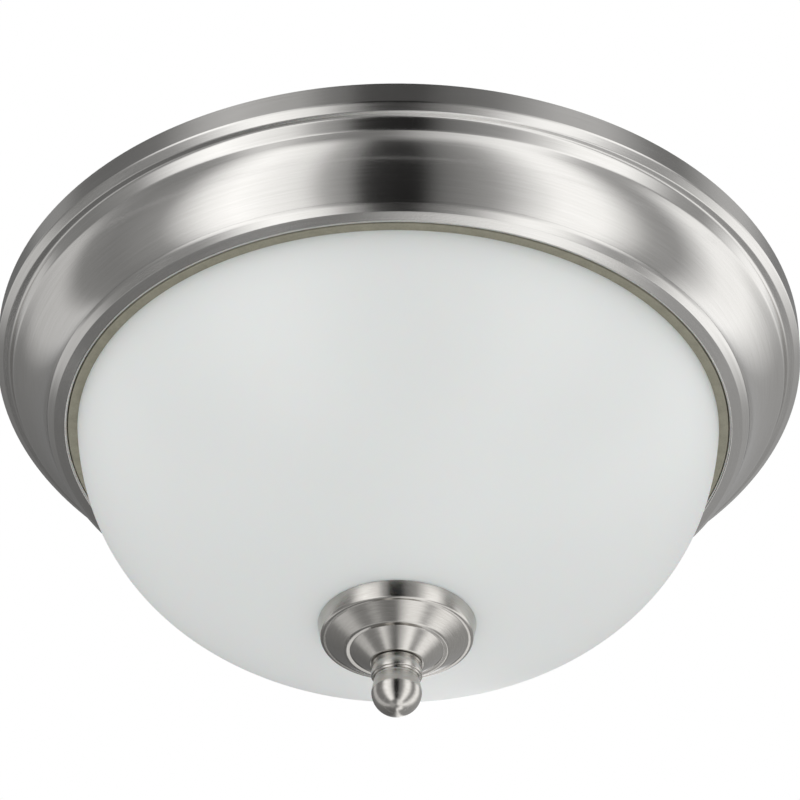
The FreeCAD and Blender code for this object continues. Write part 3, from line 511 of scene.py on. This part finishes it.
pan = {
    "sheet": 0.8, "around": 240,
    # band, bead, step, cove, roll, hem, inner wall, ledge, outer wall of the deck, deck, rod's hole
    "skin": [(164.7, 0), (164.4, -9, 0.8), (161.6, -11, 1), (159, -11.2, 1.5), (157.2, -15.6, 1.6),
             (143.75, -23.47, 27.8), (141.5, -36.8, 2.6), (138.6, -39.1, 0.25), (133.1, -40.4, 1.3),
             (133.1, -31, 1.0), (118, -31, 1.5), (117, -14, 2), (3.05, -14)],
    "bushingPlace": (0, 24), "bushingHole": 7.45, "bushingSteps": 48,
    "screwPlace": 52.0, "entryRadius": 5.2, "entrySteps": 40, "entryReach": 10.0,
    "slotRadius": 2.3, "slotSteps": 20, "cutLow": -15.5, "cutHigh": -12.0,
}


def keyholeOutline():
    # Round the entry circle from one side of the slot to the other, then over the slot's round end.
    opening = math.acos(pan["slotRadius"] / pan["entryRadius"])
    entry = np.linspace(opening, -math.pi - opening, pan["entrySteps"])
    end = np.linspace(math.pi, 0, pan["slotSteps"])[1:-1]
    lower = np.stack((np.cos(entry), np.sin(entry)), 1) * pan["entryRadius"] - (0, pan["entryReach"])
    upper = np.stack((np.cos(end), np.sin(end)), 1) * pan["slotRadius"]
    return np.concatenate((lower, upper))[::-1]


def buildPan():
    # The sheet is turned, cut flat at the ceiling, and the deck gets its bush hole and two keyholes.
    loop = sheetLoop(pan["skin"], -pan["sheet"])
    loop[:, 1] = np.minimum(loop[:, 1], 0)
    piece = turnedPiece("pan", loop, pan["around"])
    hole = circle(pan["bushingHole"], pan["bushingSteps"]) + pan["bushingPlace"]
    keyhole = keyholeOutline()
    outlines = [hole, keyhole + (pan["screwPlace"], 0), -keyhole - (pan["screwPlace"], 0)]
    cutWith(piece, [prism(outline, pan["cutLow"], pan["cutHigh"]) for outline in outlines])
    standsFor(piece, "canopy_pan")


buildPan()
print("pan turned")


bowl = {"widest": 130.73, "equator": -5.0, "depth": 122.9, "roundness": 2.95, "wall": 4.0,
        "rim": -33.0, "hole": 6.0, "steps": 150, "around": 320}


def bowlCurve(inset):
    # (r / widest) squared + (fall / depth) to the roundness = 1, at even turns from rim to hole.
    widest, depth = bowl["widest"] - inset, bowl["depth"] - inset
    first = math.asin(((bowl["equator"] - bowl["rim"]) / depth) ** (bowl["roundness"] / 2))
    last = math.acos(bowl["hole"] / widest)
    turn = np.linspace(first, last, bowl["steps"])
    fall = depth * np.sin(turn) ** (2 / bowl["roundness"])
    return np.stack((widest * np.cos(turn), bowl["equator"] - fall), 1)


def buildBowl():
    # The outer curve and the one a wall's thickness inside it.
    outer, inner = bowlCurve(0), bowlCurve(bowl["wall"])
    standsFor(turnedPiece("bowl", np.concatenate((outer, inner[::-1])), bowl["around"]), "glass_bowl")


buildBowl()


# a channel over the glass rim, with a lip that reaches out to the hem
gasket = {"around": 320, "spacing": 0.1,
          "loop": [(124.9, -36.9), (124.9, -31.3, 0.35), (130.95, -31.3, 0.35), (131.1, -37.4, 0.6),
                   (132.95, -38.2, 0.3), (132.95, -39.8, 0.4), (129.2, -39.6), (129.95, -33.0),
                   (125.9, -33.0), (125.9, -36.9)]}


def buildGasket():
    # The loop with its corners rounded, turned.
    loop = roundedPath(gasket["loop"], gasket["spacing"])
    standsFor(turnedPiece("gasket", loop, gasket["around"]), "rim_gasket")


buildGasket()
print("bowl and gasket turned")


# tapered band, step, cone, step, second cone, and the seat of the knob
cap = {"sheet": 1.2, "around": 192,
       "skin": [(30.4, -125.87), (29.1, -132.5, 1.3), (27.2, -132.4, 0.3), (19.8, -137.57, 1.8),
                (17.8, -137.47, 0.3), (10.4, -143.47, 0.9), (3.4, -143.47)]}
# collar, ridge, neck and the round end, with a blind bore for the rod
knob = {"around": 128, "spacing": 0.12, "boreRadius": 3.06, "boreEnd": -157.66, "top": -143.66,
        "skin": [(9.7, -143.66, 0.5), (9.7, -149.16, 0.5), (9.15, -149.16), (9.15, -150.06, 0.25),
                 (8.65, -150.06), (8.65, -151.16), (9.55, -155.46), (9.55, -165.25, 9.45), (0, -165.25)]}


def buildCapAndKnob():
    # The cap is a turned sheet; the knob's loop goes up its bore and down its skin.
    standsFor(turnedPiece("cap", sheetLoop(cap["skin"], -cap["sheet"]), cap["around"]), "finial_cap")
    bore = knob["boreRadius"]
    corners = [(0, knob["boreEnd"]), (bore, knob["boreEnd"]), (bore, knob["top"]), *knob["skin"]]
    standsFor(turnedPiece("knob", roundedPath(corners, knob["spacing"]), knob["around"]), "finial_knob")


buildCapAndKnob()
print("cap and knob turned")


rod = {"radius": 2.99, "low": -156.26, "high": -6.6, "chamfer": 0.6, "pitch": 1.0, "depth": 0.6,
       "step": 0.125, "around": 32}


def buildRod():
    # A rod with chamfered ends and a thread from one chamfer to the other.
    radius, edge, low, high = rod["radius"], rod["chamfer"], rod["low"], rod["high"]
    corners = np.array([(0, low), (radius - edge, low), (radius, low + edge), (radius, high - edge),
                        (radius - edge, high), (0, high)])
    thread = (low + edge / 2, high - edge / 2, rod["pitch"], rod["depth"])
    standsFor(turnedPiece("rod", splitPath(corners, rod["step"]), rod["around"], thread), "centre_rod")


buildRod()


washer = {"inner": 3.15, "outer": 5.6, "low": -15.3, "high": -14.0, "edge": 0.15, "spacing": 0.05,
          "around": 96, "gap": 0.9, "lean": 0.8, "gapPastEdge": 1.0, "gapPastFace": 0.1}


def buildWasher():
    # A square ring with a slanting gap cut through one side.
    inner, outer, low, high, edge = (washer[name] for name in ("inner", "outer", "low", "high", "edge"))
    corners = [(inner, low), (outer, low, edge), (outer, high, edge), (inner, high)]
    piece = turnedPiece("washer", roundedPath(corners, washer["spacing"]), washer["around"])
    half, past, lean = washer["gap"] / 2, washer["gapPastEdge"], washer["lean"]
    gap = rectangle((inner - past, -half), (outer + past, half)) - (0, lean / 2)
    cutWith(piece, [prism(gap, low - washer["gapPastFace"], high + washer["gapPastFace"], lean)])
    standsFor(piece, "rod_spring_washer")


buildWasher()


# A lamp's own frame has its Z along the lamp, from the back of its holder: to +X for a, to -X for b.
lamps = {"back": 75.01, "offset": 35.0, "drop": -52.0, "sides": {"a": 1, "b": -1}}


def lampSpot(side, across=0):
    # Where a lamp's frame stands, moved across the lamp along Y, and its tilt.
    return (-side * lamps["back"], side * lamps["offset"] + across, lamps["drop"]), side * 90


screws = {
    "around": 32, "step": 0.1, "chamfer": 0.5, "threadShare": 0.6,
    "domeShare": 0.75, "seatRound": 0.15, "headSpacing": 0.15,
    "slotWidth": 1.0, "slotShare": 0.45, "slotPastEdge": 1.0, "slotPastFace": 0.5,
    "fixture": {"radius": 2.04, "head": 4.2, "height": 2.8, "seat": -14.0, "end": -0.2, "pitch": 0.8},
    "ground": {"radius": 1.69, "head": 3.8, "height": 2.4, "seat": -1.6, "end": -0.2, "pitch": 0.6},
    "holder": {"radius": 1.69, "head": 3.1, "height": 2.2, "seat": -1.2, "end": 6.0, "pitch": 0.6},
    "groundPlace": 18.0, "holderSpread": 8.0,
}


def screwPiece(radius, head, height, seat, end, pitch):
    # A domed head with a slot across it, hung under its seat, and a threaded shank up to the end.
    edge = screws["chamfer"]
    top = seat - height
    headPath = roundedPath([(0, top), (head, top, height * screws["domeShare"]),
                            (head, seat, screws["seatRound"]), (radius, seat)], screws["headSpacing"])
    shank = np.array(((radius, seat), (radius, end - edge), (radius - edge, end), (0, end)))
    loop = np.concatenate((headPath[:-1], splitPath(shank, screws["step"])))
    thread = (seat, end - edge / 2, pitch, pitch * screws["threadShare"])
    piece = turnedPiece("screw", loop, screws["around"], thread)
    half, reach = screws["slotWidth"] / 2, head + screws["slotPastEdge"]
    slot = rectangle((-reach, -half), (reach, half))
    cutWith(piece, [prism(slot, top - screws["slotPastFace"], top + screws["slotShare"] * height)])
    return piece


def buildScrews():
    # Every node's screws at their spots, as one piece.
    place = pan["screwPlace"]
    spots = {"fixture_screws": ("fixture", [((place, 0, 0), 0), ((-place, 0, 0), 0)]),
             "ground_screw": ("ground", [((screws["groundPlace"], 0, 0), 0)])}
    for name, side in lamps["sides"].items():
        spread = side * screws["holderSpread"]
        spots["holder_screws_" + name] = ("holder", [lampSpot(side, spread), lampSpot(side, -spread)])
    for node, (kind, places) in spots.items():
        standsFor(joined([moved(screwPiece(**screws[kind]), *spot) for spot in places]), node)


buildScrews()


bulb = {"radius": 13.08, "low": 17.3, "high": 36.3, "neck": 10.6, "rise": 2.1, "shoulder": 1.0,
        "pitch": 3.63, "depth": 0.85, "threadEnd": 0.4, "step": 0.3, "around": 96}


def buildBulbBases():
    # The screw base narrows to the insulator at its low end.
    radius, low, high = bulb["radius"], bulb["low"], bulb["high"]
    rise, shoulder = bulb["rise"], bulb["shoulder"]
    skin = roundedPath([(bulb["neck"], low), (radius - bulb["depth"] / 2, low + rise, shoulder),
                        (radius, low + rise + shoulder), (radius, high)])
    loop = np.concatenate(([(0, low)], splitPath(skin, bulb["step"]), [(0, high)]))
    thread = (low + rise / 2, high - bulb["threadEnd"], bulb["pitch"], bulb["depth"])
    for name, side in lamps["sides"].items():
        piece = turnedPiece("base_" + name, loop, bulb["around"], thread)
        standsFor(moved(piece, *lampSpot(side)), "bulb_base_" + name)


buildBulbBases()
print("rod, washer, screws and bulb bases built")


# Metres and degrees. Azimuth is 0 straight in front, and grows towards +X.
studio = {
    "floorDrop": 1.95, "floorHalf": 30.0, "floorColour": 0.85, "floorMottle": 0.97, "floorScale": 3.0,
    "floorRoughness": 0.9, "wallDistance": 2.3, "wallTop": 62.0, "columns": 96,
    # azimuth, and how bright the soft panels are there
    "panels": [(-180, 0.7), (-178.5, 0.45), (-176, 0.28), (-170, 0.18), (-150, 0.22), (-128, 0.3),
               (-119, 0.75), (-106, 0.85), (-98, 0.35), (-84, 0.3), (-68, 0.4), (-54, 1.5), (-45, 1.8),
               (-26, 1.3), (-20, 0.6), (-14, 0.42), (-10, 0.03), (6, 0.01), (11, 0.22), (26, 0.5),
               (44, 1.65), (57, 1.65), (72, 0.5), (82, 0.42), (98, 1.5), (110, 1.55), (120, 0.95),
               (129, 0.5), (169.5, 0.4), (172, 1.0), (175, 1.65), (178, 1.15)],
    # elevations where the panels start and end to fade, what is left of them above, and a lift there
    "fadeFrom": 25.0, "fadeTo": 33.0, "fadeLeft": 0.36, "fadeLift": 0.09,
    # the sheet below: its own light inside the inner radius, and the panels' beyond the outer one
    "lowDrop": 1.9, "lowRadius": 2.25, "lowInner": 0.75, "lowOuter": 1.0,
    # its dim level, then the azimuth and level of its bright side and of a weaker one,
    # with the cosines where each starts and is full
    "lowShade": 0.25, "lowBright": 75.0, "lowLight": 1.45, "brightCosines": (0.2, 0.85),
    "lowBack": -105.0, "lowBackLight": 0.35, "backCosines": (0.6, 0.9),
    # a round spot on it, full inside the inner radius and gone at the outer one
    "spotPlace": (0.37, 0.79, -1.9), "spotInner": 0.05, "spotOuter": 0.55, "spotLight": 1.5,
    "worldShade": 0.96,
}


def floorMaterial():
    # A pale floor with a faint mottle.
    made, tree, shader, place = newMaterial("paleFloor", studio["floorRoughness"])
    level = studio["floorColour"]
    cloud = noise(tree, place, studio["floorScale"])
    shade = blended(tree, cloud, (level * studio["floorMottle"],) * 3, (level,) * 3)
    setSocket(tree, shader, "Base Color", shade)
    return made


def glowMaterial(name):
    # A plain light of its own; the caller links how strong it is.
    made = bpy.data.materials.new(name)
    made.use_nodes = True
    tree = made.node_tree
    tree.nodes.clear()
    glow = add(tree, "Emission", Color=(1, 1, 1, 1))
    add(tree, "OutputMaterial", Surface=glow.outputs[0])
    return made, tree, glow, add(tree, "TexCoord").outputs["Object"]


def splitPlace(tree, place):
    # The three parts of a place, and its azimuth as the arc tangent of x over -y.
    parts = add(tree, "SeparateXYZ", Vector=place).outputs
    return parts, calc(tree, "ARCTAN2", parts[0], calc(tree, "MULTIPLY", parts[1], -1.0))


def panelShade(tree, azimuth):
    # The panels' brightness by azimuth.
    ramp = add(tree, "ValToRGB", Fac=ranged(tree, azimuth, -math.pi, math.pi, 0.0, 1.0))
    brightest = max(level for angle, level in studio["panels"])
    stops = ramp.color_ramp.elements
    for angle, level in studio["panels"][1:-1]:
        stops.new(angle / 360 + 0.5)
    for stop, (angle, level) in zip(stops, studio["panels"]):
        stop.position = angle / 360 + 0.5
        stop.color = (*(level / brightest,) * 3, 1)
    return calc(tree, "MULTIPLY", ramp.outputs[0], brightest)


def panelMaterial():
    # Above the elevation where they fade the panels are dim, with a lift that fills the dark one.
    made, tree, glow, place = glowMaterial("softPanels")
    parts, azimuth = splitPlace(tree, place)
    fades = (studio["fadeFrom"], studio["fadeTo"])
    heights = [studio["wallDistance"] * math.tan(math.radians(angle)) for angle in fades]
    fade = ranged(tree, parts[2], *heights, 1.0, studio["fadeLeft"])
    lift = ranged(tree, parts[2], *heights, 0.0, studio["fadeLift"])
    strength = calc(tree, "ADD", calc(tree, "MULTIPLY", panelShade(tree, azimuth), fade), lift)
    setSocket(tree, glow, "Strength", strength)
    return made


def towards(tree, azimuth, side, cosines, low, high):
    # From low to high as the cosine of the angle to a side rises between two values.
    cosine = calc(tree, "COSINE", calc(tree, "SUBTRACT", azimuth, math.radians(side)))
    return ranged(tree, cosine, *cosines, low, high)


def lowMaterial():
    # Bright on the right and dim on the left, the panels again towards the rim, and a round spot.
    made, tree, glow, place = glowMaterial("lowPanel")
    parts, azimuth = splitPlace(tree, place)
    right = towards(tree, azimuth, studio["lowBright"], studio["brightCosines"],
                    studio["lowShade"], studio["lowLight"])
    left = towards(tree, azimuth, studio["lowBack"], studio["backCosines"], 0.0, studio["lowBackLight"])
    rim = ranged(tree, fromAxis(tree, parts), studio["lowInner"], studio["lowOuter"], 0.0, 1.0)
    inner = calc(tree, "MULTIPLY", calc(tree, "ADD", right, left), calc(tree, "SUBTRACT", 1.0, rim))
    base = calc(tree, "ADD", inner, calc(tree, "MULTIPLY", panelShade(tree, azimuth), rim))
    away = add(tree, "VectorMath", operation="DISTANCE")
    tree.links.new(place, away.inputs[0])
    away.inputs[1].default_value = studio["spotPlace"]
    spot = ranged(tree, away.outputs["Value"], studio["spotInner"], studio["spotOuter"],
                  studio["spotLight"], 0.0)
    setSocket(tree, glow, "Strength", calc(tree, "ADD", base, spot))
    return made


def hidden(piece, material):
    # Shows in the model's reflections only, and the camera looks through it.
    piece.data.materials.append(material)
    piece.visible_camera = False
    piece.visible_diffuse = False
    piece.visible_shadow = False


def buildStudio():
    # A square floor, and above it a drum (r sin a, -r cos a) of panels that a disc closes below.
    half, drop, distance = studio["floorHalf"], studio["lowDrop"], studio["wallDistance"]
    points = np.column_stack((rectangle((-half, -half), (half, half)), np.full(4, -studio["floorDrop"])))
    floor = meshPiece("floor", points, [[0, 1, 2, 3]])
    floor.data.materials.append(floorMaterial())
    count = studio["columns"]
    columns = np.arange(count)
    drum = circle(distance, count)[:, ::-1] * (1, -1)
    top = distance * math.tan(math.radians(studio["wallTop"]))
    points = np.concatenate([np.column_stack((drum, np.full(count, height))) for height in (-drop, top)])
    onward = (columns + 1) % count
    faces = np.stack((columns + count, columns, onward, onward + count), 1)
    hidden(meshPiece("wall", points, faces.tolist()), panelMaterial())
    ring = np.column_stack((circle(studio["lowRadius"], count), np.full(count, -drop)))
    hidden(meshPiece("lowPanel", ring, [columns.tolist()]), lowMaterial())


def buildWorld():
    # White to the camera and in reflections, a plain grey as light.
    world = bpy.data.worlds.new("studioWorld")
    bpy.context.scene.world = world
    world.use_nodes = True
    tree = world.node_tree
    tree.nodes.clear()
    path = add(tree, "LightPath").outputs
    seen = calc(tree, "MAXIMUM", calc(tree, "MAXIMUM", path["Is Camera Ray"], path["Is Glossy Ray"]),
                path["Is Transmission Ray"])
    strength = ranged(tree, seen, 0.0, 1.0, studio["worldShade"], 1.0)
    background = add(tree, "Background", Color=(1, 1, 1, 1), Strength=strength)
    add(tree, "OutputWorld", Surface=background.outputs[0])


# place in metres, pitch and roll in degrees, lens and sensor in millimetres
view = {"place": (0.0, -0.8, -0.66147), "pitch": 38.95, "roll": 0.35, "lens": 112.68, "sensor": 36.0,
        "shift": 0.002, "near": 0.01, "far": 50.0}


def buildCamera():
    # Below and in front of the lamp, turned up to it and rolled a little as the photograph is.
    data = bpy.data.cameras.new("photoCamera")
    data.lens, data.sensor_width, data.shift_x = view["lens"], view["sensor"], view["shift"]
    data.clip_start, data.clip_end = view["near"], view["far"]
    camera = bpy.data.objects.new("photoCamera", data)
    camera.location = view["place"]
    lift = Matrix.Rotation(math.radians(90 + view["pitch"]), 3, "X")
    camera.rotation_euler = (lift @ Matrix.Rotation(math.radians(view["roll"]), 3, "Z")).to_euler()
    bpy.context.scene.collection.objects.link(camera)
    bpy.context.scene.camera = camera


buildStudio()
buildWorld()
buildCamera()
bpy.context.scene.view_settings.view_transform = "Standard"
print("studio ready")
